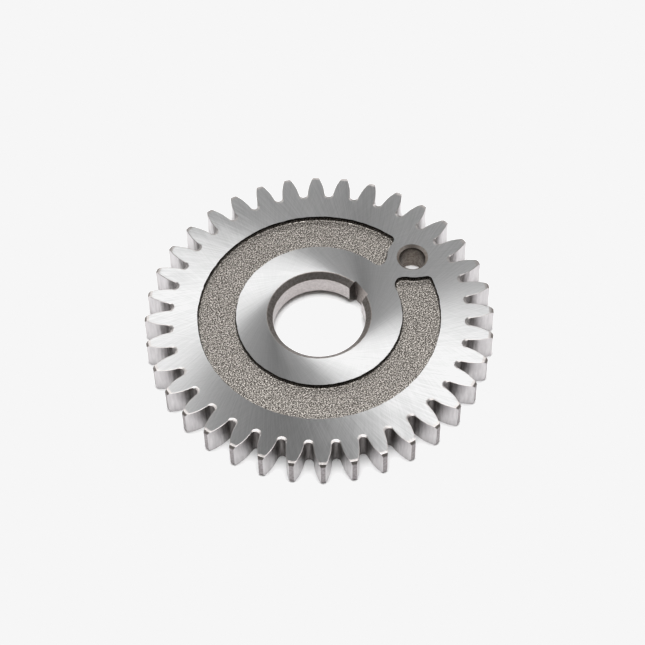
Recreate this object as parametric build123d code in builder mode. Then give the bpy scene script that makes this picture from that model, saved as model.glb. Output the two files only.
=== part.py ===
from build123d import *
from math import acos, asin, atan2, cos, hypot, pi, radians, sin, tan
import os

# A spur gear made from one piece of steel. The blank is turned and bored, the teeth are
# hobbed, the key seat is broached, and a shallow cast recess runs round the web except
# where a boss is left standing for the pin hole. Millimetres, axis on Z, resting on Z = 0.
# The key seat and the pin hole lie on the +X side, on the middle line of a tooth space.

# Tooth system
module = 1.75
tooth_count = 36
pressure_angle = 17.5  # degrees
addendum = 2.37
dedendum = 2.8
root_round = 0.87  # radius of the rounded tooth root
undercut_blend = 0.35  # the flank leaves the involute this far above the base circle

# Blank
face_width = 6.5
bore_radius = 9.0
upper_bore_chamfer = 1.1
lower_bore_chamfer = 1.6
rim_chamfer = 0.49  # 45 degree bevel turned on both rim corners
rim_bevel_width = 0.45  # shallower bevel between that chamfer and the flat face
edge_break = 0.3  # 45 degree break along every tooth flank and root

# Key seat
key_width = 4.0
key_floor_distance = 10.4  # bore axis to the floor of the seat

# Pin hole, in its boss
pin_hole_radius = 2.5
pin_hole_distance = 22.8
upper_pin_chamfer = 0.6
lower_pin_chamfer = 0.4

# Cast recess in the upper face
recess_outer_radius = 23.6
recess_inner_radius = 16.1
recess_depth = 1.0
recess_draft = 7.0  # degrees
boss_radius = 4.7  # the flat ends of the recess touch this circle round the pin hole
boss_root_depth = 1.5  # and would meet this far inside the hub
rim_corner_radius = 1.1
hub_corner_radius = 1.85
recess_floor_bevel = 0.4

# Derived sizes
pitch_radius = module * tooth_count / 2
tip_radius = pitch_radius + addendum
root_radius = pitch_radius - dedendum
base_radius = pitch_radius * cos(radians(pressure_angle))
cutter_reach = 1.0  # how far the cutting shapes run past the surfaces that they cut


def involute(angle):
    """Involute function of a pressure angle in radians."""
    return tan(angle) - angle


def flank_point(radius, widening):
    """Point of the upper flank of the tooth space on the +X axis.

    The point lies on the involute at a radius, and is then moved into the tooth, square
    to the flank, by the widening.
    """
    roll = acos(base_radius / radius)
    at_pitch = pi / (2 * tooth_count) - involute(radians(pressure_angle))
    half_angle = at_pitch + involute(roll)
    out = radius - widening * sin(roll)
    across = widening * cos(roll)
    return (
        out * cos(half_angle) - across * sin(half_angle),
        out * sin(half_angle) + across * cos(half_angle),
    )


# The flank leaves the round root on a tangent, and runs out along the involute until it is
# clear of the tooth tips
flank_start = base_radius + undercut_blend
flank_end = tip_radius + cutter_reach
flank_steps = 5
flank_radii = [
    flank_start + (flank_end - flank_start) * step / flank_steps
    for step in range(flank_steps + 1)
]
root_centre = root_radius + root_round
first_x, first_y = flank_point(flank_start, 0)
root_to_flank = hypot(first_x - root_centre, first_y)
blend_slope = atan2(first_y, first_x - root_centre) - asin(root_round / root_to_flank)


def tooth_space(widening):
    """Flat outline of one tooth space, widened all round by a distance."""
    round_radius = root_round + widening
    root_end = (
        root_centre - round_radius * sin(blend_slope),
        round_radius * cos(blend_slope),
    )
    points = [flank_point(radius, widening) for radius in flank_radii]
    leaving = (cos(blend_slope), sin(blend_slope))
    arriving = (points[-1][0] - points[-2][0], points[-1][1] - points[-2][1])
    with BuildSketch() as outline:
        with BuildLine():
            flank = Spline(root_end, *points, tangents=(leaving, arriving))
            mirror(flank, about=Plane.XZ)
            ThreePointArc(
                root_end,
                (root_centre - round_radius, 0),
                (root_end[0], -root_end[1]),
            )
            Line(points[-1], (points[-1][0], -points[-1][1]))
        make_face()
    return outline.sketch


# The cutter for one space: straight through, and flared where it leaves each face
with BuildPart() as space_cutter:
    with BuildSketch(Plane.XY.offset(-cutter_reach)):
        add(tooth_space(0))
    extrude(amount=face_width + 2 * cutter_reach)
    for break_start, break_end in (
        (edge_break, -edge_break),
        (face_width - edge_break, face_width + edge_break),
    ):
        with BuildSketch(Plane.XY.offset(break_start)):
            add(tooth_space(0))
        with BuildSketch(Plane.XY.offset(break_end)):
            add(tooth_space(2 * edge_break))
        loft(ruled=True)

with BuildPart() as drive_gear:
    # Turned blank: half section of a bored disc, with both rim corners bevelled twice
    rim_edge_radius = tip_radius - rim_chamfer
    rim_flat_radius = rim_edge_radius - rim_bevel_width
    rim_edge_height = edge_break + rim_chamfer
    with BuildSketch(Plane.XZ):
        with BuildLine():
            Polyline(
                (bore_radius, lower_bore_chamfer),
                (bore_radius + lower_bore_chamfer, 0),
                (rim_flat_radius, 0),
                (rim_edge_radius, edge_break),
                (tip_radius, rim_edge_height),
                (tip_radius, face_width - rim_edge_height),
                (rim_edge_radius, face_width - edge_break),
                (rim_flat_radius, face_width),
                (bore_radius + upper_bore_chamfer, face_width),
                (bore_radius, face_width - upper_bore_chamfer),
                close=True,
            )
        make_face()
    revolve(axis=Axis.Z)

    # Teeth: what is left between the spaces
    with PolarLocations(0, tooth_count):
        add(space_cutter.part, mode=Mode.SUBTRACT)

    # Cast recess: a ring that stops short of the pin hole, so that a boss is left. The
    # flat ends of the ring run from one point inside the hub, as tangents to the boss.
    boss_apex = recess_inner_radius - boss_root_depth
    boss_half_angle = asin(boss_radius / (pin_hole_distance - boss_apex))
    boss_run = 2 * recess_outer_radius
    boss_spread = boss_run * tan(boss_half_angle)
    with BuildSketch(Plane.XY.offset(face_width)) as recess_outline:
        Circle(recess_outer_radius)
        Circle(recess_inner_radius, mode=Mode.SUBTRACT)
        with BuildLine():
            Polyline(
                (boss_apex, 0),
                (boss_apex + boss_run, boss_spread),
                (boss_apex + boss_run, -boss_spread),
                close=True,
            )
        make_face(mode=Mode.SUBTRACT)
        hub_corners = recess_outline.vertices().sort_by_distance((0, 0, face_width))[:2]
        fillet(hub_corners, radius=hub_corner_radius)
        rim_corners = recess_outline.vertices().sort_by_distance((0, 0, face_width))[-2:]
        fillet(rim_corners, radius=rim_corner_radius)
    extrude(amount=-recess_depth, taper=recess_draft, mode=Mode.SUBTRACT)
    recess_floor = drive_gear.faces(Select.LAST).sort_by(Axis.Z)[0]
    chamfer(recess_floor.outer_wire().edges(), length=recess_floor_bevel)

    # Pin hole through the boss, with a chamfer at each mouth
    with Locations((pin_hole_distance, 0, face_width)):
        CounterSinkHole(
            radius=pin_hole_radius,
            counter_sink_radius=pin_hole_radius + upper_pin_chamfer,
            counter_sink_angle=90,
        )
    with Locations(Location((pin_hole_distance, 0, 0), (180, 0, 0))):
        CounterSinkHole(
            radius=pin_hole_radius,
            counter_sink_radius=pin_hole_radius + lower_pin_chamfer,
            counter_sink_angle=90,
        )

    # Key seat, broached through the bore
    with BuildSketch(Plane.XY.offset(-cutter_reach)):
        with Locations((key_floor_distance / 2, 0)):
            Rectangle(key_floor_distance, key_width)
    extrude(amount=face_width + 2 * cutter_reach, mode=Mode.SUBTRACT)

drive_gear.part.label = "drive_gear"
os.makedirs("parts", exist_ok=True)
export_step(drive_gear.part, "parts/drive_gear.step")
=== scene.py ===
"""Looks of a drive gear: one piece of hardened steel with a bare cast recess.

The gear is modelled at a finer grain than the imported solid, as one closed mesh that stands
for its one node. A turned blank is cut the way the real one is: by the hob, the broach, the
drill and the pocket that the casting leaves. Each cut leaves its own finish behind. Drawing
is done in millimetres, and the finished mesh is brought to metres.
"""

import logging
import math
from collections.abc import Callable, Iterable, Mapping, Sequence
from dataclasses import dataclass, field
from enum import Enum

import bpy
from mathutils import Matrix, Vector


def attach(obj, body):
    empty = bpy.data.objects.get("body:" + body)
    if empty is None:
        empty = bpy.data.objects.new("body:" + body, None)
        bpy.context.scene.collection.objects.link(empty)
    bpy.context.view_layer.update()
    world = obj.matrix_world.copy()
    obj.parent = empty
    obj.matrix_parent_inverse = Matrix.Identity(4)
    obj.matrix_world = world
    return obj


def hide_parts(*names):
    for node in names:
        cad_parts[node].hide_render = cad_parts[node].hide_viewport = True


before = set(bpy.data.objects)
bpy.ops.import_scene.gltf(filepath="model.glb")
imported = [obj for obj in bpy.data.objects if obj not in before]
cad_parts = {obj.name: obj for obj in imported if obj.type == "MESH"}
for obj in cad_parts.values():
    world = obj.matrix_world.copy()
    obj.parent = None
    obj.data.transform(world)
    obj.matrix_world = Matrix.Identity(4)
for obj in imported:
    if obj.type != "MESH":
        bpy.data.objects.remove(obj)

LOG = logging.getLogger("drive_gear")
METRES_PER_MM = 0.001
MERGE_MM = 0.0005  # corners nearer to each other than this are one
TOUCH_MM = 0.0001  # places that differ by less are level
Z_AXIS = (0.0, 0.0, 1.0)
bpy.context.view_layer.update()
EASED = {"interpolation_type": "SMOOTHSTEP"}
COLOURS = {"data_type": "RGBA"}
FINE_MARKS = {"Detail": 3.0, "Roughness": 0.6}


class Surface(Enum):
    """The finishes of the gear, by the slot of its mesh that each one fills."""

    GROUND = 0
    TURNED = 1
    FLANK = 2
    EDGE = 3
    BORE = 4
    KEY_SEAT = 5
    PIN_HOLE = 6
    COUNTERSINK = 7
    CAST = 8
    TIP = 9
    SEAT_FLOOR = 10


class Reach(Enum):
    """What a lamp lights, by the state of its link to the table."""

    ONLY_THE_TABLE = "INCLUDE"
    ALL_BUT_THE_TABLE = "EXCLUDE"


# Colour and nodes


def linear(hex_colour: str) -> tuple[float, float, float, float]:
    """Turns an sRGB hex colour to linear light.

    Args:
        hex_colour: Six hex digits, as in "c8c4c0".

    Returns:
        Linear red, green, blue and an alpha of one.
    """
    channels = [int(hex_colour[start : start + 2], 16) / 255 for start in (0, 2, 4)]
    light = [
        channel / 12.92 if channel <= 0.04045 else ((channel + 0.055) / 1.055) ** 2.4
        for channel in channels
    ]
    return (light[0], light[1], light[2], 1.0)


def per_metre(size_mm: float) -> float:
    """Gives how often a pattern of a size in millimetres repeats in a metre."""
    return 1 / (size_mm * METRES_PER_MM)


def add_node(
    tree: bpy.types.NodeTree,
    kind: str,
    settings: Mapping[str, object] | None = None,
    feeds: Mapping[object, object] | Sequence[object] = (),
    output: int | str = 0,
) -> bpy.types.NodeSocket | None:
    """Adds a node with its settings and what feeds its inputs.

    Args:
        tree: The node tree that gets the node.
        kind: The node's type name after "ShaderNode".
        settings: Values of the node's own properties.
        feeds: A socket to link or a value to set, for inputs by their name or number, or
            in a row for the first inputs.
        output: The output to give back, by its name or number.

    Returns:
        That output, or nothing where the node has none.
    """
    node = tree.nodes.new("ShaderNode" + kind)
    for name, value in (settings or {}).items():
        setattr(node, name, value)
    named = feeds if isinstance(feeds, Mapping) else dict(enumerate(feeds))
    for name, value in named.items():
        if isinstance(value, bpy.types.NodeSocket):
            tree.links.new(value, node.inputs[name])
        else:
            node.inputs[name].default_value = value
    return node.outputs[output] if len(node.outputs) else None


def new_material(name: str) -> tuple[bpy.types.Material, bpy.types.NodeTree]:
    """Makes an empty node material.

    Args:
        name: The material's name.

    Returns:
        The material and its node tree.
    """
    material = bpy.data.materials.new(name)
    material.use_nodes = True
    material.node_tree.nodes.clear()
    return material, material.node_tree


def distance_from_axis(
    tree: bpy.types.NodeTree, place: bpy.types.NodeSocket
) -> bpy.types.NodeSocket:
    """Works out the distance from the bore axis.

    Args:
        tree: The node tree.
        place: The place on the object, in metres.

    Returns:
        The distance in metres.
    """
    flat = add_node(tree, "VectorMath", {"operation": "MULTIPLY"}, (place, (1.0, 1.0, 0.0)))
    return add_node(tree, "VectorMath", {"operation": "LENGTH"}, (flat,), "Value")


def close_steel(
    tree: bpy.types.NodeTree,
    colour: bpy.types.NodeSocket,
    roughness: float | bpy.types.NodeSocket,
    marks: bpy.types.NodeSocket,
    relief_mm: float,
    lay: Mapping[str, object] | None = None,
) -> None:
    """Closes a steel material with its shader, its relief and its output.

    Args:
        tree: The material's node tree.
        colour: The colour of the steel.
        roughness: Its roughness.
        marks: The height of its marks, from 0 to 1.
        relief_mm: The depth of its marks.
        lay: What else feeds the shader, where the marks have a lay.
    """
    depth = relief_mm * METRES_PER_MM
    feeds = {
        "Base Color": colour,
        "Metallic": 1.0,
        "Roughness": roughness,
        "Normal": add_node(tree, "Bump", feeds={"Height": marks, "Distance": depth}),
        **(lay or {}),
    }
    shader = add_node(tree, "BsdfPrincipled", feeds=feeds)
    add_node(tree, "OutputMaterial", feeds={"Surface": shader})


# Finishes


@dataclass(frozen=True)
class GroundSteel:
    """Hardened steel, ground flat under a cup wheel: a fine straight lay that leans one way.

    The wheel's rim passes the turning gear at a fixed distance from its axis, so every
    scratch is a tangent to one small circle. The eye sees two bright fans that face each
    other, with fine streaks in them. The burr brush that follows the wheel leaves the
    same lay on the edges, only duller.
    """

    name: str = "ground_hardened_steel"
    colour: str = "bbbbbb"
    streak_colour: str = "acacac"
    streak_range: tuple[float, float] = (0.35, 0.65)  # of the marks, from dark to light
    roughness: float = 0.36
    cloud_mm: float = 9.0
    cloud_depth: float = 0.02  # by which the roughness clouds over either way
    anisotropy: float = 0.97
    lay_circle_mm: float = 9.4  # the circle that every scratch touches
    streak_mm: float = 0.24  # real grit marks are finer than the render shows
    streak_length_mm: float = 5.0
    streak_radius_mm: float = 28.0  # this far from the axis a streak is streak_mm wide
    crossed_share: float = 0.35  # of the fainter set, left by the wheel's far rim
    sway: float = 0.012  # turns by which single scratches leave the lay
    noise_range: tuple[float, float] = (0.3, 0.7)  # over which clouds and sway take effect
    relief_mm: float = 0.0003

    def build(self) -> bpy.types.Material:
        """Makes the material.

        Returns:
            The material.
        """
        material, tree = new_material(self.name)
        place = add_node(tree, "TexCoord", output="Object")
        lay_set, crossed_set = (self.scratches(tree, place, lean) for lean in (1.0, -1.0))
        both = {0: self.crossed_share, 2: lay_set, 3: crossed_set}
        marks = add_node(tree, "Mix", {"data_type": "FLOAT"}, both)
        streaks = add_node(tree, "MapRange", EASED, (marks, *self.streak_range))
        base = {0: streaks, 6: linear(self.streak_colour), 7: linear(self.colour)}
        colour = add_node(tree, "Mix", COLOURS, base, 2)
        clouds = {"Vector": place, "Scale": per_metre(self.cloud_mm)}
        cloud = add_node(tree, "TexNoise", feeds=clouds)
        dulled = self.roughness - self.cloud_depth, self.roughness + self.cloud_depth
        rough = add_node(tree, "MapRange", EASED, (cloud, *self.noise_range, *dulled))
        swayed = -self.sway, self.sway
        turn = add_node(tree, "MapRange", EASED, (marks, *self.noise_range, *swayed))
        lay = {
            "Anisotropic": self.anisotropy,
            "Anisotropic Rotation": turn,
            "Tangent": self.lay(tree, place, 1.0)[0],
        }
        close_steel(tree, colour, rough, marks, self.relief_mm, lay)
        return material

    def scratches(
        self, tree: bpy.types.NodeTree, place: bpy.types.NodeSocket, lean: float
    ) -> bpy.types.NodeSocket:
        """Draws a noise that is stretched along the lay.

        Args:
            tree: The node tree.
            place: The place on the object, in metres.
            lean: One for scratches that lean with the lay, minus one for the other way.

        Returns:
            The noise, from 0 to 1.
        """
        across, along = self.lay(tree, place, lean)
        spread = (self.streak_radius_mm * METRES_PER_MM,) * 3
        upward = add_node(tree, "CombineXYZ", feeds={"Z": along})
        streak_place = add_node(
            tree, "VectorMath", {"operation": "MULTIPLY_ADD"}, (across, spread, upward)
        )
        grain = {"Vector": streak_place, "Scale": per_metre(self.streak_mm), **FINE_MARKS}
        return add_node(tree, "TexNoise", feeds=grain)

    def lay(
        self, tree: bpy.types.NodeTree, place: bpy.types.NodeSocket, lean: float
    ) -> tuple[bpy.types.NodeSocket, bpy.types.NodeSocket]:
        """Works out the lay at a place.

        Args:
            tree: The node tree.
            place: The place on the object, in metres.
            lean: One for the way that the wheel leans, minus one for its mirror image.

        Returns:
            The unit vector across the scratches, and the way along them, squeezed so that
            a streak comes out at its length.
        """
        circle = self.lay_circle_mm * METRES_PER_MM
        split = add_node(tree, "SeparateXYZ", feeds=(place,)).node.outputs
        radius = distance_from_axis(tree, place)
        square = add_node(tree, "Math", {"operation": "MULTIPLY"}, (radius, radius))
        beyond = add_node(tree, "Math", {"operation": "SUBTRACT"}, (square, circle**2))
        kept = add_node(tree, "Math", {"operation": "MAXIMUM"}, (beyond, 0.0))
        run = add_node(tree, "Math", {"operation": "SQRT"}, (kept,))
        flat = add_node(tree, "CombineXYZ", feeds=(split["X"], split["Y"]))
        swapped = add_node(tree, "CombineXYZ", feeds=(split["Y"], split["X"]))
        quarter_turn = add_node(
            tree, "VectorMath", {"operation": "MULTIPLY"}, (swapped, (lean, -lean, 0.0))
        )
        parts = [
            add_node(tree, "VectorMath", {"operation": "SCALE"}, {0: way, "Scale": length})
            for way, length in ((flat, circle), (quarter_turn, run))
        ]
        both = add_node(tree, "VectorMath", {"operation": "ADD"}, parts)
        across = add_node(tree, "VectorMath", {"operation": "NORMALIZE"}, (both,))
        squeeze = self.streak_mm / self.streak_length_mm
        return across, add_node(tree, "Math", {"operation": "MULTIPLY"}, (run, squeeze))


@dataclass(frozen=True)
class PlainSteel:
    """Steel with an even finish from one tool, with fine marks in its colour and relief.

    A turned, bored, drilled or broached surface is duller than a ground one, and looks
    slightly warm where thin oil has dried on it.
    """

    name: str
    colour: str
    mark_colour: str
    roughness: float
    roughness_depth: float = 0.05  # by which the marks change it either way
    mark_mm: float = 0.5
    colour_range: tuple[float, float] = (0.25, 0.75)
    roughness_range: tuple[float, float] = (0.2, 0.8)
    relief_mm: float = 0.002

    def build(self) -> bpy.types.Material:
        """Makes the material.

        Returns:
            The material.
        """
        material, tree = new_material(self.name)
        place = add_node(tree, "TexCoord", output="Object")
        grain = {"Vector": place, "Scale": per_metre(self.mark_mm), **FINE_MARKS}
        marks = add_node(tree, "TexNoise", feeds=grain)
        share = add_node(tree, "MapRange", EASED, (marks, *self.colour_range))
        base = {0: share, 6: linear(self.mark_colour), 7: linear(self.colour)}
        colour = add_node(tree, "Mix", COLOURS, base, 2)
        dulled = self.roughness + self.roughness_depth, self.roughness - self.roughness_depth
        rough = add_node(tree, "MapRange", EASED, (marks, *self.roughness_range, *dulled))
        close_steel(tree, colour, rough, marks, self.relief_mm)
        return material


@dataclass(frozen=True)
class HobbedFlank:
    """Hobbed and rolled teeth: light on the flanks that mesh, painted shade in the root.

    The root is never touched by a mating gear or a wheel, so it stays duller. Its colour is
    darkened towards the axis as painted shade for the pocket between the teeth, and the
    painted shade ends where the flanks turn light, a little above the root round.
    """

    name: str = "hobbed_tooth_steel"
    colours: tuple[str, str] = ("b7b4b5", "c8c5c6")  # streaks, then the flank
    # painted shade: darker colours for the root, standing in for the shade in the pocket between
    # the teeth
    root_shade_colours: tuple[str, str] = ("666260", "8e8a89")
    roughness: float = 0.34
    root_roughness: float = 0.5
    # painted shade and dullness are full inside this radius and gone beyond light_from_mm
    dull_and_shaded_to_mm: float = 29.2
    light_from_mm: float = 31.7
    mark_mm: float = 0.5
    mark_flatness: float = 0.12  # marks run along the teeth
    streak_range: tuple[float, float] = (0.3, 0.7)
    fray_mm: float = 0.3  # by which the border of the root's painted shade and dullness sways either way
    fray_range: tuple[float, float] = (0.2, 0.8)
    relief_mm: float = 0.003

    def build(self) -> bpy.types.Material:
        """Makes the material.

        Returns:
            The material.
        """
        material, tree = new_material(self.name)
        place = add_node(tree, "TexCoord", output="Object")
        stretch = (1.0, 1.0, self.mark_flatness)
        drawn_out = add_node(tree, "Mapping", feeds={"Vector": place, "Scale": stretch})
        grain = {"Vector": drawn_out, "Scale": per_metre(self.mark_mm), **FINE_MARKS}
        marks = add_node(tree, "TexNoise", feeds=grain)
        fray = self.fray_mm * METRES_PER_MM
        shift = add_node(tree, "MapRange", EASED, (marks, *self.fray_range, -fray, fray))
        distance = distance_from_axis(tree, place)
        radius = add_node(tree, "Math", {"operation": "ADD"}, (distance, shift))
        border = self.dull_and_shaded_to_mm * METRES_PER_MM, self.light_from_mm * METRES_PER_MM
        finished = add_node(tree, "MapRange", EASED, (radius, *border))
        dulled = self.root_roughness, self.roughness
        rough = add_node(tree, "MapRange", EASED, (radius, *border, *dulled))
        streaks = add_node(tree, "MapRange", EASED, (marks, *self.streak_range))
        root, flank = (
            add_node(tree, "Mix", COLOURS, {0: streaks, 6: linear(dark), 7: linear(light)}, 2)
            for dark, light in (self.root_shade_colours, self.colours)
        )
        # painted shade: the root's darker colour fades into the flank's outwards from the axis
        colour = add_node(tree, "Mix", COLOURS, {0: finished, 6: root, 7: flank}, 2)
        close_steel(tree, colour, rough, marks, self.relief_mm)
        return material


@dataclass(frozen=True)
class CastSkin:
    """Bare casting, blasted with shot: a coarse brown grey grain that sparkles at its tips, with
    painted shade on the pocket's walls.
    """

    name: str = "blasted_cast_steel"
    colour: str = "cac4bd"
    pit_colour: str = "3e3a36"
    # painted shade: a dark colour for the pocket's walls, which stand in shade
    wall_shade_colour: str = "3e3a36"
    skin_range: tuple[float, float] = (0.38, 0.74)
    roughness: float = 0.4
    grain_mm: float = 0.24
    grain_detail: float = 1.0  # finer layers in the grain, fewer than in tool marks
    relief_mm: float = 0.072
    floor_height_mm: float = 5.5
    wall_shade_range_mm: tuple[float, float] = (0.4, 0.65)  # above the floor, where painted shade darkens the walls

    def build(self) -> bpy.types.Material:
        """Makes the material.

        Returns:
            The material.
        """
        material, tree = new_material(self.name)
        place = add_node(tree, "TexCoord", output="Object")
        coarse = {**FINE_MARKS, "Detail": self.grain_detail}
        grain = {"Vector": place, "Scale": per_metre(self.grain_mm), **coarse}
        marks = add_node(tree, "TexNoise", feeds=grain)
        height = add_node(tree, "SeparateXYZ", feeds=(place,), output="Z")
        wall = ((self.floor_height_mm + above) * METRES_PER_MM for above in self.wall_shade_range_mm)
        shaded_wall = add_node(tree, "MapRange", EASED, (height, *wall))
        share = add_node(tree, "MapRange", EASED, (marks, *self.skin_range))
        grains = {0: share, 6: linear(self.pit_colour), 7: linear(self.colour)}
        skin = add_node(tree, "Mix", COLOURS, grains, 2)
        # painted shade: the walls take the dark colour from a little above the floor
        base = {0: shaded_wall, 6: skin, 7: linear(self.wall_shade_colour)}
        colour = add_node(tree, "Mix", COLOURS, base, 2)
        close_steel(tree, colour, self.roughness, marks, self.relief_mm)
        return material


@dataclass(frozen=True)
class TablePaint:
    """Matt white paint: pale and even, with no mirror image of the gear in it."""

    name: str = "matt_white_table"
    colour: str = "fcfcfc"
    roughness: float = 0.9
    gloss: float = 0.1

    def build(self) -> bpy.types.Material:
        """Makes the material.

        Returns:
            The material.
        """
        material, tree = new_material(self.name)
        shader = add_node(
            tree,
            "BsdfPrincipled",
            feeds={
                "Base Color": linear(self.colour),
                "Roughness": self.roughness,
                "Specular IOR Level": self.gloss,
            },
        )
        add_node(tree, "OutputMaterial", feeds={"Surface": shader})
        return material


# Drawing and cutting


def start_piece(name: str) -> bpy.types.Object:
    """Starts an empty mesh and leaves it in edit mode.

    Args:
        name: The name of the object and of its mesh.

    Returns:
        The object.
    """
    bpy.ops.object.select_all(action="DESELECT")
    bpy.ops.mesh.primitive_plane_add(size=1)
    piece = bpy.context.object
    piece.name = name
    piece.data.name = name
    bpy.ops.object.mode_set(mode="EDIT")
    bpy.ops.mesh.select_mode(type="VERT")
    bpy.ops.mesh.select_all(action="SELECT")
    bpy.ops.mesh.delete(type="VERT")
    return piece


def draw_line(points: Sequence[Sequence[float]]) -> None:
    """Draws a line in edit mode: one vertex, extruded from point to point.

    Args:
        points: The places that the line runs through. Its last vertex stays selected.
    """
    bpy.ops.mesh.select_all(action="DESELECT")
    bpy.ops.mesh.primitive_plane_add(size=1)
    bpy.ops.mesh.merge(type="CENTER")
    here = Vector(points[0])
    bpy.ops.transform.translate(value=here)
    for point in points[1:]:
        step = Vector(point) - here
        bpy.ops.mesh.extrude_vertices_move(TRANSFORM_OT_translate={"value": step})
        here = Vector(point)


def merge_doubles() -> None:
    """Selects all of the mesh in edit mode and merges its doubles."""
    bpy.ops.mesh.select_all(action="SELECT")
    bpy.ops.mesh.remove_doubles(threshold=MERGE_MM)


def weld() -> None:
    """Merges doubles all over the mesh in edit mode and turns its faces outwards."""
    merge_doubles()
    bpy.ops.mesh.normals_make_consistent(inside=False)


def select_edges(piece: bpy.types.Object, wanted: Callable[[Vector, Vector], bool]) -> None:
    """Selects edges by the places of their two ends.

    Args:
        piece: The mesh, in edit mode.
        wanted: Says of an edge's two ends whether it is selected.
    """
    bpy.ops.mesh.select_mode(type="EDGE")
    bpy.ops.mesh.select_all(action="DESELECT")
    bpy.ops.object.mode_set(mode="OBJECT")
    corners = piece.data.vertices
    for edge in piece.data.edges:
        edge.select = wanted(corners[edge.vertices[0]].co, corners[edge.vertices[1]].co)
    bpy.ops.object.mode_set(mode="EDIT")


def select_borders(piece: bpy.types.Object, wanted: Callable[[set[Surface]], bool]) -> None:
    """Selects the edges of a dressed mesh by the surfaces that meet there.

    Args:
        piece: The mesh, which is left in edit mode.
        wanted: Says of a set of surfaces whether the edges between them are selected.
    """
    meeting: dict[tuple[int, int], set[Surface]] = {}
    for face in piece.data.polygons:
        for key in face.edge_keys:
            meeting.setdefault(key, set()).add(Surface(face.material_index))
    bpy.ops.object.mode_set(mode="EDIT")
    bpy.ops.mesh.select_mode(type="EDGE")
    bpy.ops.mesh.select_all(action="DESELECT")
    bpy.ops.object.mode_set(mode="OBJECT")
    for edge in piece.data.edges:
        edge.select = wanted(meeting[edge.key])
    bpy.ops.object.mode_set(mode="EDIT")


def apply_modifiers(piece: bpy.types.Object) -> None:
    """Applies every modifier of a piece.

    Args:
        piece: The piece, in object mode.
    """
    bpy.ops.object.select_all(action="DESELECT")
    piece.select_set(True)
    bpy.context.view_layer.objects.active = piece
    for modifier in list(piece.modifiers):
        bpy.ops.object.modifier_apply(modifier=modifier.name)


def cut(body: bpy.types.Object, cutter: bpy.types.Object) -> None:
    """Cuts one closed mesh out of another, and removes the cutter.

    The faces that the cut leaves take the cutter's materials.

    Args:
        body: The mesh that loses material.
        cutter: The mesh that takes it away.
    """
    boolean = body.modifiers.new("cut", "BOOLEAN")
    boolean.operation = "DIFFERENCE"
    boolean.solver = "MANIFOLD"
    boolean.material_mode = "TRANSFER"
    boolean.object = cutter
    apply_modifiers(body)
    bpy.data.objects.remove(cutter)


def arc(
    centre: tuple[float, float], radius: float, start: float, end: float, steps: int
) -> list[tuple[float, float]]:
    """Divides an arc in a plane.

    Args:
        centre: The arc's centre.
        radius: Its radius.
        start: The angle of its first point, in radians.
        end: The angle of its last point.
        steps: The number of equal parts.

    Returns:
        The points of the arc, both ends included.
    """
    angles = [start + (end - start) * step / steps for step in range(steps + 1)]
    return [
        (centre[0] + radius * math.cos(angle), centre[1] + radius * math.sin(angle))
        for angle in angles
    ]


# Sub-assemblies


@dataclass(frozen=True)
class BrushedEdge:
    """A burr brush's mark on an edge: nearly level at the face, steeper at the wall."""

    width: float = 0.53
    height: float = 0.165
    face_angle: float = 12.0
    wall_angle: float = 21.0
    steps: int = 4

    def profile(self) -> list[tuple[float, float]]:
        """Works out the mark's rounded section.

        Returns:
            Its (width, depth below the face) from the wall's end to the face's end.
        """
        face, wall = math.radians(self.face_angle), math.radians(self.wall_angle)
        from_wall = (self.height - self.width * math.tan(face)) / (
            math.sin(wall) - math.cos(wall) * math.tan(face)
        )
        bend_width = from_wall * math.cos(wall)
        bend_depth = self.height - from_wall * math.sin(wall)
        points = []
        for step in range(self.steps + 1):
            share = step / self.steps
            pull = 2 * share * (1 - share)
            width = pull * bend_width + share**2 * self.width
            points.append((width, pull * bend_depth + (1 - share) ** 2 * self.height))
        return points


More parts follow.
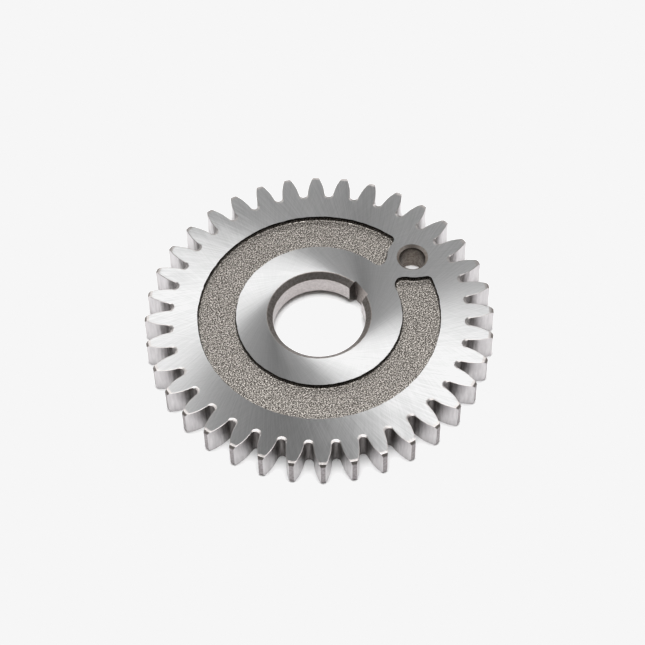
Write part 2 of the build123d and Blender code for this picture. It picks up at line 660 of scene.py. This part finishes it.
@dataclass
class Blank:
    """The turned blank: a bored disc with a bevelled rim."""

    face_width: float = 6.5
    tip_radius: float = 33.87
    rim_chamfer: float = 0.44
    brushed: BrushedEdge = field(default_factory=lambda: BrushedEdge(0.5, 0.04, 3.0, 6.5))
    bore_radius: float = 9.0
    upper_bore_chamfer: float = 1.1
    lower_bore_chamfer: float = 1.6
    mouth_round: float = 0.1
    tip_round: float = 0.05
    round_steps: int = 2
    steps: int = 360

    def build(self) -> bpy.types.Object:
        """Spins the half section into a closed ring.

        Returns:
            The blank, in millimetres.
        """
        piece = start_piece("drive_gear_body")
        edge = self.tip_radius - self.rim_chamfer
        flat = edge - self.brushed.width
        foot = self.brushed.height + self.rim_chamfer
        top = self.face_width
        rim = [(edge - width, depth) for width, depth in self.brushed.profile()]
        section = [
            (self.bore_radius, self.lower_bore_chamfer),
            (self.bore_radius + self.lower_bore_chamfer, 0),
            *reversed(rim),
            (self.tip_radius, foot),
            (self.tip_radius, top - foot),
            *[(x, top - z) for x, z in rim],
            (self.bore_radius + self.upper_bore_chamfer, top),
            (self.bore_radius, top - self.upper_bore_chamfer),
        ]
        draw_line([(x, 0, z) for x, z in [*section, section[0]]])
        merge_doubles()
        self.round_corners(piece, 0, flat - self.mouth_round, self.mouth_round)
        self.round_corners(piece, self.tip_radius - self.tip_round, math.inf, self.tip_round)
        bpy.ops.mesh.select_all(action="SELECT")
        bpy.ops.mesh.spin(
            steps=self.steps, angle=math.tau, center=(0, 0, 0), axis=Z_AXIS, use_auto_merge=True
        )
        weld()
        bpy.ops.object.mode_set(mode="OBJECT")
        return piece

    def round_corners(
        self, piece: bpy.types.Object, nearest: float, farthest: float, rounding: float
    ) -> None:
        """Rounds the corners of the half section between two distances from the axis.

        Args:
            piece: The half section, in edit mode.
            nearest: The least distance from the axis.
            farthest: The greatest distance from the axis.
            rounding: How far the round reaches along each side.
        """
        bpy.ops.mesh.select_mode(type="VERT")
        bpy.ops.mesh.select_all(action="DESELECT")
        bpy.ops.object.mode_set(mode="OBJECT")
        for corner in piece.data.vertices:
            corner.select = nearest < corner.co.x < farthest
        bpy.ops.object.mode_set(mode="EDIT")
        bpy.ops.mesh.bevel(
            offset=rounding, segments=self.round_steps, affect="VERTICES", offset_type="OFFSET"
        )


@dataclass
class ToothSpaces:
    """What the hob takes away: 36 spaces with involute flanks and round roots."""

    module: float = 1.75
    tooth_count: int = 36
    pressure_angle: float = 17.5
    dedendum: float = 2.8
    root_round: float = 0.87
    undercut_blend: float = 0.35
    face_width: float = 6.5
    reach_radius: float = 35.0
    brushed: BrushedEdge = field(default_factory=BrushedEdge)
    flank_share: float = 0.22  # of the brushed edge that is left along the flanks
    flank_steps: int = 14
    root_steps: int = 11
    past: float = 0.4

    def base_radius(self) -> float:
        """Gives the radius of the circle that the involute unrolls from."""
        return self.module * self.tooth_count / 2 * math.cos(math.radians(self.pressure_angle))

    def flank_point(self, radius: float, widening: float) -> tuple[float, float]:
        """Works out a point of the upper flank of the space on the X axis.

        Args:
            radius: The point's distance from the gear's axis on the true flank.
            widening: How far it is then moved into the tooth, square to the flank.

        Returns:
            The point in the plane.
        """
        roll = math.acos(self.base_radius() / radius)
        pressure = math.radians(self.pressure_angle)
        at_pitch = math.pi / (2 * self.tooth_count) - (math.tan(pressure) - pressure)
        half_angle = at_pitch + math.tan(roll) - roll
        out = radius - widening * math.sin(roll)
        across = widening * math.cos(roll)
        return (
            out * math.cos(half_angle) - across * math.sin(half_angle),
            out * math.sin(half_angle) + across * math.cos(half_angle),
        )

    def loop(self, widening: float, depth: float) -> list[tuple[float, float, float]]:
        """Works out the outline of a space at one step of the brushed edge.

        The brush reaches furthest in the middle of the root, and little along the flanks.

        Args:
            widening: Distance by which the space is widened in the middle of the root.
            depth: Distance below the upper face in the middle of the root.

        Returns:
            A closed line of points, from the lower flank's end round the root and back.
        """
        root_centre = self.module * self.tooth_count / 2 - self.dedendum + self.root_round
        start = self.base_radius() + self.undercut_blend
        first_x, first_y = self.flank_point(start, 0)
        run = math.hypot(first_x - root_centre, first_y)
        slope = math.atan2(first_y, first_x - root_centre) - math.asin(self.root_round / run)
        half = []
        for step in range(self.root_steps + 1):
            share = step / self.root_steps
            angle = math.pi + (slope - math.pi / 2) * share
            kept = 1 - (1 - self.flank_share) * share**2
            radius = self.root_round + widening * kept
            x, y = root_centre + radius * math.cos(angle), radius * math.sin(angle)
            half.append((x, y, self.face_width - depth * kept))
        height = self.face_width - depth * self.flank_share
        for step in range(self.flank_steps + 1):
            radius = start + (self.reach_radius - start) * step / self.flank_steps
            half.append((*self.flank_point(radius, widening * self.flank_share), height))
        other = [(x, -y, z) for x, y, z in reversed(half[1:])]
        return [*other, *half, other[0]]

    def build(self) -> bpy.types.Object:
        """Draws one cutter loop by loop, closes it and turns 36 copies round the axis.

        Returns:
            The cutters as one mesh, in millimetres.
        """
        piece = start_piece("tooth_spaces")
        upper = [self.loop(widening, depth) for widening, depth in self.brushed.profile()]
        lowest, highest = -self.past, self.face_width + self.past
        upper.append([(x, y, highest) for x, y, _ in upper[-1]])
        for line in upper:
            draw_line(line)
            draw_line([(x, y, self.face_width - z) for x, y, z in line])
        merge_doubles()
        bpy.ops.mesh.select_mode(type="EDGE")
        bpy.ops.mesh.select_all(action="SELECT")
        bpy.ops.mesh.bridge_edge_loops()
        for height in (lowest, highest):
            select_edges(
                piece,
                lambda a, b, at=height: abs(a.z - at) < TOUCH_MM and abs(b.z - at) < TOUCH_MM,
            )
            bpy.ops.mesh.edge_face_add()
        weld()
        bpy.ops.mesh.spin(
            steps=self.tooth_count - 1,
            dupli=True,
            angle=math.tau * (self.tooth_count - 1) / self.tooth_count,
            center=(0, 0, 0),
            axis=Z_AXIS,
        )
        bpy.ops.object.mode_set(mode="OBJECT")
        return piece


@dataclass
class CastRecess:
    """The shallow pocket of the casting, which stops short of the pin hole's boss."""

    face_width: float = 6.5
    outer_radius: float = 23.6
    inner_radius: float = 16.1
    depth: float = 1.0
    draft: float = 7.0
    boss_x: float = 22.8
    boss_radius: float = 4.7
    boss_root_depth: float = 1.5
    boss_swell: float = 0.26  # the boss swells into the recess between its corners
    rim_corner: float = 1.1
    hub_corner: float = 1.85
    left_hub_corner: float = 1.4  # the two ends of the real casting differ
    floor_round: float = 0.15
    floor_round_steps: int = 3
    circle_steps: tuple[int, int] = (120, 160)  # of half the inner and half the outer circle
    corner_steps: tuple[int, int] = (10, 8)  # of a corner at the hub and one at the rim
    swell_steps: int = 8
    past: float = 0.25
    voxel: float = 0.135
    wave_mm: float = 1.3
    wave_height: float = 0.36
    ring_wave: float = 0.5  # share of the wave away from the boss
    full_wave_reach: float = 2.0  # from the boss
    grain_mm: float = 0.27
    grain_height: float = 0.09

    def outline(self, hub_corner: float) -> list[tuple[float, float]]:
        """Works out half the pocket's outline above X, from the inner to the outer circle.

        Args:
            hub_corner: Radius of the corner next to the hub.

        Returns:
            Points in the plane.
        """
        apex = self.inner_radius - self.boss_root_depth
        turn = math.asin(self.boss_radius / (self.boss_x - apex))
        along = (math.cos(turn), math.sin(turn))
        normal = (-math.sin(turn), math.cos(turn))

        def corner(distance: float, rounding: float) -> tuple[float, float]:
            """Works out the centre of a corner round that touches the boss side.

            Args:
                distance: The centre's distance from the axis.
                rounding: The radius of the round.

            Returns:
                The centre in the plane.
            """
            start = (apex + rounding * normal[0], rounding * normal[1])
            half = start[0] * along[0] + start[1] * along[1]
            rest = start[0] ** 2 + start[1] ** 2 - distance**2
            run = -half + math.sqrt(half**2 - rest)
            return (start[0] + run * along[0], start[1] + run * along[1])

        hub = corner(self.inner_radius + hub_corner, hub_corner)
        rim = corner(self.outer_radius - self.rim_corner, self.rim_corner)
        hub_angle = math.atan2(hub[1], hub[0])
        rim_angle = math.atan2(rim[1], rim[0])
        off_line = turn - math.pi / 2
        inner_steps, outer_steps = self.circle_steps
        hub_steps, rim_steps = self.corner_steps
        inner = arc((0, 0), self.inner_radius, math.pi, hub_angle, inner_steps)
        hub_round = arc(hub, hub_corner, hub_angle - math.pi, off_line, hub_steps)
        rim_round = arc(rim, self.rim_corner, off_line, rim_angle, rim_steps)
        outer = arc((0, 0), self.outer_radius, rim_angle, math.pi, outer_steps)
        start, end = Vector(hub_round[-1]), Vector(rim_round[0])
        swelling = []
        for step in range(1, self.swell_steps):
            share = step / self.swell_steps
            swell = self.boss_swell * math.sin(math.pi * share) ** 2
            swelling.append(tuple(start.lerp(end, share) + swell * Vector(normal)))
        return [*inner[:-1], *hub_round, *swelling, *rim_round, *outer[1:]]

    def build(self) -> bpy.types.Object:
        """Draws the pocket, tapers and rounds it, and gives it the casting's grain.

        Returns:
            The pocket as a closed mesh, in millimetres.
        """
        piece = start_piece("cast_recess")
        half = self.outline(self.left_hub_corner)
        other = [(x, -y) for x, y in reversed(self.outline(self.hub_corner)[1:-1])]
        top = self.face_width
        floor = top - self.depth
        draw_line([(x, y, top) for x, y in [*half, *other, half[0]]])
        merge_doubles()
        bpy.ops.mesh.edge_face_add()
        bpy.ops.mesh.extrude_region_move(TRANSFORM_OT_translate={"value": (0, 0, self.past)})
        bpy.ops.mesh.select_all(action="SELECT")
        bpy.ops.mesh.normals_make_consistent(inside=False)
        select_edges(piece, lambda a, b: max(a.z, b.z) < top + TOUCH_MM)
        bpy.ops.mesh.select_mode(type="FACE")
        bpy.ops.mesh.inset(
            thickness=self.depth * math.tan(math.radians(self.draft)), depth=self.depth
        )
        select_edges(piece, lambda a, b: max(a.z, b.z) < floor + TOUCH_MM)
        bpy.ops.mesh.bevel(
            offset=self.floor_round, segments=self.floor_round_steps, affect="EDGES"
        )
        bpy.ops.object.mode_set(mode="OBJECT")
        remesh = piece.modifiers.new("even_grain", "REMESH")
        remesh.mode = "VOXEL"
        remesh.voxel_size = self.voxel
        apply_modifiers(piece)
        walls = piece.vertex_groups.new(name="walls")
        boss = Vector((self.boss_x, 0))
        for vertex in piece.data.vertices:
            if vertex.co.z > floor + self.floor_round:
                beside = (vertex.co.xy - boss).length < self.boss_radius + self.full_wave_reach
                walls.add([vertex.index], 1.0 if beside else self.ring_wave, "REPLACE")
        self.roughen(piece, "cast_wave", self.wave_mm, self.wave_height, walls.name)
        self.roughen(piece, "cast_grain", self.grain_mm, self.grain_height, "")
        apply_modifiers(piece)
        return piece

    def roughen(
        self, piece: bpy.types.Object, name: str, size: float, height: float, group: str
    ) -> None:
        """Adds a modifier that moves the skin in and out in cloudy patches.

        Args:
            piece: The pocket.
            name: The name of the modifier and its texture.
            size: Size of the patches.
            height: Way from the deepest to the highest patch.
            group: The vertex group that moves, or nothing for all.
        """
        clouds = bpy.data.textures.new(name, "CLOUDS")
        clouds.noise_scale = size
        clouds.noise_depth = 1
        relief = piece.modifiers.new(name, "DISPLACE")
        relief.texture = clouds
        relief.texture_coords = "LOCAL"
        relief.strength = height
        relief.mid_level = 0.5
        relief.vertex_group = group


@dataclass
class PinHole:
    """The drilled and countersunk hole through the boss."""

    face_width: float = 6.5
    distance: float = 22.8
    radius: float = 2.5
    upper_chamfer: float = 0.6
    lower_chamfer: float = 0.4
    worn_edge: float = 0.1  # where the countersink meets the wall
    worn_run: float = 0.35
    past: float = 0.5
    steps: int = 96

    def build(self) -> bpy.types.Object:
        """Spins the drill's half section about the hole's axis.

        Returns:
            The drill as a closed mesh, in millimetres.
        """
        piece = start_piece("pin_hole")
        top = self.face_width
        section = [
            (0, -self.past),
            (self.radius + self.lower_chamfer + self.past, -self.past),
            (self.radius, self.lower_chamfer),
            (self.radius, top - self.upper_chamfer - self.worn_run),
            (self.radius + self.worn_edge, top - self.upper_chamfer + self.worn_edge),
            (self.radius + self.upper_chamfer + self.past, top + self.past),
            (0, top + self.past),
        ]
        draw_line([(self.distance + x, 0, z) for x, z in section])
        bpy.ops.mesh.select_all(action="SELECT")
        bpy.ops.mesh.spin(
            steps=self.steps,
            angle=math.tau,
            center=(self.distance, 0, 0),
            axis=Z_AXIS,
            use_auto_merge=True,
        )
        weld()
        bpy.ops.object.mode_set(mode="OBJECT")
        return piece


@dataclass
class KeySeat:
    """The broached seat for a parallel key."""

    face_width: float = 6.5
    width: float = 4.0
    floor_distance: float = 10.4
    corner_round: float = 0.12
    corner_steps: int = 3
    past: float = 1.0

    def build(self) -> bpy.types.Object:
        """Makes the broach: a block with its two cutting corners rounded.

        Returns:
            The broach as a closed mesh, in millimetres.
        """
        bpy.ops.object.select_all(action="DESELECT")
        height = self.face_width + 2 * self.past
        bpy.ops.mesh.primitive_cube_add(
            size=1,
            location=(self.floor_distance / 2, 0, self.face_width / 2),
            scale=(self.floor_distance, self.width, height),
        )
        piece = bpy.context.object
        piece.name = "key_seat"
        bpy.ops.object.transform_apply(location=True, rotation=True, scale=True)
        bpy.ops.object.mode_set(mode="EDIT")
        far = self.floor_distance - TOUCH_MM
        select_edges(piece, lambda a, b: min(a.x, b.x) > far and abs(a.z - b.z) > TOUCH_MM)
        bpy.ops.mesh.bevel(offset=self.corner_round, segments=self.corner_steps, affect="EDGES")
        bpy.ops.object.mode_set(mode="OBJECT")
        return piece


@dataclass
class DriveGear:
    """The whole gear: the blank, cut and dressed."""

    blank: Blank = field(default_factory=Blank)
    spaces: ToothSpaces = field(default_factory=ToothSpaces)
    recess: CastRecess = field(default_factory=CastRecess)
    pin_hole: PinHole = field(default_factory=PinHole)
    key_seat: KeySeat = field(default_factory=KeySeat)
    sharp_angle: float = 9.0
    bore_reach: float = 0.02  # past the bore's radius
    level: float = 0.9999  # a ground face has more than this of its normal along Z
    edge_tilt: float = 0.05  # a brushed edge has more than this
    countersink_tilt: float = 0.5  # a countersink has more than this
    floor_facing: float = -0.9  # the seat's floor has less than this along X

    def finishes(self) -> dict[Surface, bpy.types.Material]:
        """Makes the material of each surface.

        Returns:
            The materials by their surface.
        """
        edge = GroundSteel(
            "brushed_steel_edge", "bab6b4", "a8a4a2", roughness=0.38, anisotropy=0.9
        )
        floor = PlainSteel("broached_floor_steel", "a29a96", "7d7571", 0.4)
        return {
            Surface.GROUND: GroundSteel().build(),
            Surface.TURNED: PlainSteel("turned_dark_steel", "a09a96", "817b77", 0.5).build(),
            Surface.FLANK: HobbedFlank().build(),
            Surface.EDGE: edge.build(),
            Surface.BORE: PlainSteel("bored_steel", "b7b1b0", "9f9998", 0.32).build(),
            # painted shade: the key seat's walls are coloured near black for the shade in the
            # narrow seat
            Surface.KEY_SEAT: PlainSteel("broached_steel_painted_shade", "4a4440", "2a2622", 0.4).build(),
            # painted shade: the drilled wall is coloured darker for the shade inside the hole
            Surface.PIN_HOLE: PlainSteel("drilled_steel_painted_shade", "7b736b", "554d47", 0.42).build(),
            # painted highlight: the countersink is coloured lighter than the other steel, as
            # where it faces the lamp
            Surface.COUNTERSINK: PlainSteel("countersunk_steel_painted_highlight", "dcd2ca", "b8aea6", 0.4).build(),
            Surface.SEAT_FLOOR: floor.build(),
            Surface.TIP: PlainSteel("turned_tip_steel", "959091", "787374", 0.4).build(),
            Surface.CAST: CastSkin().build(),
        }

    def build(self) -> bpy.types.Object:
        """Cuts the blank and dresses each surface.

        Returns:
            The gear as one closed mesh, in metres.
        """
        finishes = self.finishes()
        piece = self.blank.build()
        for surface in Surface:
            piece.data.materials.append(finishes[surface])
        self.dress_blank(piece)
        cutters = (
            (self.spaces, Surface.FLANK),
            (self.recess, Surface.CAST),
            (self.pin_hole, Surface.PIN_HOLE),
            (self.key_seat, Surface.KEY_SEAT),
        )
        for cutter, surface in cutters:
            tool = cutter.build()
            tool.data.materials.append(finishes[surface])
            LOG.info("%s: %d faces", tool.name, len(tool.data.polygons))
            cut(piece, tool)
        self.dress_edges(piece)
        self.smooth(piece)
        piece.scale = (METRES_PER_MM,) * 3
        bpy.ops.object.transform_apply(location=True, rotation=True, scale=True)
        return piece

    def dress_blank(self, piece: bpy.types.Object) -> None:
        """Gives the turned blank its ground faces, its bore and its turned rest.

        Args:
            piece: The blank, in object mode.
        """
        rim_edge = self.blank.tip_radius - self.blank.rim_chamfer
        rim_flat = rim_edge - self.blank.brushed.width
        for face in piece.data.polygons:
            radius = math.hypot(face.center.x, face.center.y)
            if abs(face.normal.z) > self.level:
                surface = Surface.GROUND
            elif radius < self.blank.bore_radius + self.bore_reach:
                surface = Surface.BORE
            elif rim_flat < radius < rim_edge:
                surface = Surface.EDGE
            elif radius > self.blank.tip_radius - self.blank.tip_round:
                surface = Surface.TIP
            else:
                surface = Surface.TURNED
            face.material_index = surface.value

    def dress_edges(self, piece: bpy.types.Object) -> None:
        """Gives tooth edges, countersinks and the floor of the key seat their finish.

        Args:
            piece: The cut gear, in object mode.
        """
        for face in piece.data.polygons:
            surface, tilt = Surface(face.material_index), abs(face.normal.z)
            if surface is Surface.FLANK and tilt > self.edge_tilt:
                face.material_index = Surface.EDGE.value
            elif surface is Surface.PIN_HOLE and tilt > self.countersink_tilt:
                face.material_index = Surface.COUNTERSINK.value
            elif surface is Surface.KEY_SEAT and face.normal.x < self.floor_facing:
                face.material_index = Surface.SEAT_FLOOR.value

    def smooth(self, piece: bpy.types.Object) -> None:
        """Shades round surfaces smooth, and keeps each real edge sharp.

        Args:
            piece: The dressed gear, in object mode.
        """
        bpy.ops.object.select_all(action="DESELECT")
        piece.select_set(True)
        bpy.context.view_layer.objects.active = piece
        bpy.ops.object.shade_smooth_by_angle(angle=math.radians(self.sharp_angle))
        soft = ({Surface.CAST}, {Surface.EDGE})
        select_borders(piece, lambda sides: sides in soft)
        bpy.ops.mesh.mark_sharp(clear=True)
        select_borders(piece, lambda sides: len(sides) > 1)
        bpy.ops.mesh.mark_sharp()
        bpy.ops.object.mode_set(mode="OBJECT")


@dataclass
class Studio:
    """A white table, an oval soft lamp overhead and a screen, with the photo's camera.

    The table is lit past white, as in the photo, so its shadows are short.
    """

    elevation: float = 56.228
    roll: float = -1.263
    view_turn: float = -35.2  # of the picture's right-hand side from +X
    distance_mm: float = 378.58
    aim_mm: tuple[float, float] = (0.618, -1.949)
    face_mm: float = 6.5
    focal_px: float = 1960.46
    picture_px: float = 645.0
    sensor_mm: float = 36.0
    sight: tuple[float, float] = (0.01, 10.0)  # from the camera, in metres
    table_size: float = 4.0
    table_drop: float = 0.00002  # keeps it clear of the gear's lower face
    lamp_radiance: float = 5.25
    table_lamp_radiance: float = 5.0
    table_lamp_shift: float = -0.12  # towards the camera
    lamp_height: float = 1.0
    lamp_side_angle: float = 20.5
    lamp_near_angle: float = 16.0
    lamp_far_angle: float = 21.5
    screen_radiance: float = 2.1
    screen_distance: float = 1.2
    screen_width: float = 2.6
    screen_bottom: float = 0.6
    screen_top: float = 1.15
    screen_shift: float = -0.35
    screen_tilt: float = -90.0  # turns a panel that shines down towards the camera
    room_light: float = 0.31
    dim_light: float = 0.05
    dim_elevation: float = 34.0
    dim_from: float = 48.0  # the dim side starts at this angle from its middle
    dim_to: float = 26.0
    white: str = "f6f6f6"

    def turned(self, vector: Sequence[float]) -> Vector:
        """Turns a vector from the picture's axes to the gear's."""
        return Matrix.Rotation(math.radians(self.view_turn), 3, "Z") @ Vector(vector)

    def add_camera(self) -> None:
        """Adds the camera at the photograph's angle and distance."""
        tilt = math.radians(self.elevation)
        roll = math.radians(self.roll)
        ahead = Vector((0, math.cos(tilt), -math.sin(tilt)))
        level = Vector((1, 0, 0))
        upright = Vector((0, math.sin(tilt), math.cos(tilt)))
        right = math.cos(roll) * level + math.sin(roll) * upright
        up = -math.sin(roll) * level + math.cos(roll) * upright
        aim = Vector((*self.aim_mm, self.face_mm))
        place = self.turned(aim - self.distance_mm * ahead) * METRES_PER_MM
        sides = [self.turned(side) for side in (right, up, -ahead)]
        camera = bpy.data.cameras.new("camera")
        camera.sensor_width = self.sensor_mm
        camera.lens = self.focal_px / self.picture_px * self.sensor_mm
        camera.clip_start, camera.clip_end = self.sight
        stand = bpy.data.objects.new("camera", camera)
        stand.matrix_world = Matrix.Translation(place) @ Matrix(sides).transposed().to_4x4()
        bpy.context.scene.collection.objects.link(stand)
        bpy.context.scene.camera = stand

    def add_lamps(self, table: bpy.types.Object) -> None:
        """Hangs the oval soft lamp, and a second one that lights the table past white.

        Args:
            table: The table top.
        """
        near, far, side = (
            self.lamp_height * math.tan(math.radians(angle))
            for angle in (self.lamp_near_angle, self.lamp_far_angle, self.lamp_side_angle)
        )
        middle = (far - near) / 2
        size = (2 * side, near + far)
        oval_share = math.pi / 4  # of its box, so that an oval lamp is as bright as asked
        lamps = [
            self.hang_panel(name, (0, middle + shift, self.lamp_height), 0.0, size, radiance)
            for name, shift, radiance in (
                ("overhead_lamp", 0.0, self.lamp_radiance),
                ("table_lamp", self.table_lamp_shift, self.table_lamp_radiance),
            )
        ]
        for lamp in lamps:
            lamp.data.shape = "ELLIPSE"
            lamp.data.energy *= oval_share
        self.link_light(lamps[1], table, Reach.ONLY_THE_TABLE)

    def add_screen(self, table: bpy.types.Object) -> None:
        """Stands the lit white screen behind the gear, where it doesn't light the table.

        Args:
            table: The table top.
        """
        height = self.screen_top - self.screen_bottom
        place = (self.screen_shift, self.screen_distance, self.screen_bottom + height / 2)
        size = (self.screen_width, height)
        tilt, radiance = self.screen_tilt, self.screen_radiance
        screen = self.hang_panel("back_screen", place, tilt, size, radiance)
        self.link_light(screen, table, Reach.ALL_BUT_THE_TABLE)

    def link_light(self, lamp: bpy.types.Object, table: bpy.types.Object, reach: Reach) -> None:
        """Lets a lamp light nothing but the table, or everything but the table.

        Args:
            lamp: The lamp.
            table: The table top.
            reach: What the lamp lights.
        """
        lit = bpy.data.collections.new(lamp.name)
        lit.objects.link(table)
        lamp.light_linking.receiver_collection = lit
        lit.collection_objects[0].light_linking.link_state = reach.value

    def hang_panel(
        self,
        name: str,
        place: Sequence[float],
        tilt: float,
        size: tuple[float, float],
        radiance: float,
    ) -> bpy.types.Object:
        """Hangs a flat lit panel.

        Args:
            name: The panel's name.
            place: Its middle, along the picture's axes.
            tilt: Its turn about the picture's horizontal; a panel without one shines down.
            size: Its width and height.
            radiance: Its brightness, where white paper in full light is about one.

        Returns:
            The panel.
        """
        panel = bpy.data.lights.new(name, "AREA")
        panel.shape = "RECTANGLE"
        panel.size, panel.size_y = size
        panel.energy = math.pi * radiance * size[0] * size[1]
        stand = bpy.data.objects.new(name, panel)
        stand.location = self.turned(place)
        stand.rotation_euler = (math.radians(tilt), 0, math.radians(self.view_turn))
        bpy.context.scene.collection.objects.link(stand)
        return stand

    def add_room(self) -> None:
        """Fills the room with soft light, which is dimmer at its near side."""
        world = bpy.data.worlds.new("room")
        world.use_nodes = True
        tree = world.node_tree
        tree.nodes.clear()
        rise = math.radians(self.dim_elevation)
        middle = self.turned((0, -math.cos(rise), math.sin(rise)))
        way = add_node(tree, "TexCoord", output="Generated")
        facing = add_node(
            tree, "VectorMath", {"operation": "DOT_PRODUCT"}, (way, middle), "Value"
        )
        edges = (math.cos(math.radians(angle)) for angle in (self.dim_from, self.dim_to))
        strength = add_node(
            tree, "MapRange", EASED, (facing, *edges, self.room_light, self.dim_light)
        )
        light = add_node(tree, "Background", feeds={"Color": (1, 1, 1, 1), "Strength": strength})
        add_node(tree, "OutputWorld", feeds={"Surface": light})
        bpy.context.scene.world = world

    def add_table(self) -> bpy.types.Object:
        """Lays the white table top under the gear.

        Returns:
            The table top.
        """
        bpy.ops.object.select_all(action="DESELECT")
        bpy.ops.mesh.primitive_plane_add(size=self.table_size, location=(0, 0, -self.table_drop))
        table = bpy.context.object
        table.name = "table_top"
        table.data.materials.append(TablePaint().build())
        return table

    def build(self) -> None:
        """Sets up the table, the light and the camera."""
        table = self.add_table()
        self.add_lamps(table)
        self.add_screen(table)
        self.add_room()
        self.add_camera()
        self.expose()

    def expose(self) -> None:
        """Ends the picture's brightness at the photo's white, a little short of full."""
        view = bpy.context.scene.view_settings
        view.view_transform = "Standard"
        view.use_curve_mapping = True
        view.curve_mapping.extend = "HORIZONTAL"
        combined = view.curve_mapping.curves[3]  # after red, green and blue
        for point in combined.points:
            point.handle_type = "VECTOR"
        white = linear(self.white)[0]
        combined.points[-1].location = (white, white)
        view.curve_mapping.update()


def main() -> None:
    """Builds the gear and the studio, and reports each piece."""
    logging.basicConfig(level=logging.INFO, format="%(name)s: %(message)s")
    gear = DriveGear().build()
    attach(gear, "root")
    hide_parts("drive_gear")
    LOG.info("%s: %d faces", gear.name, len(gear.data.polygons))
    Studio().build()


if __name__ == "__main__":
    main()
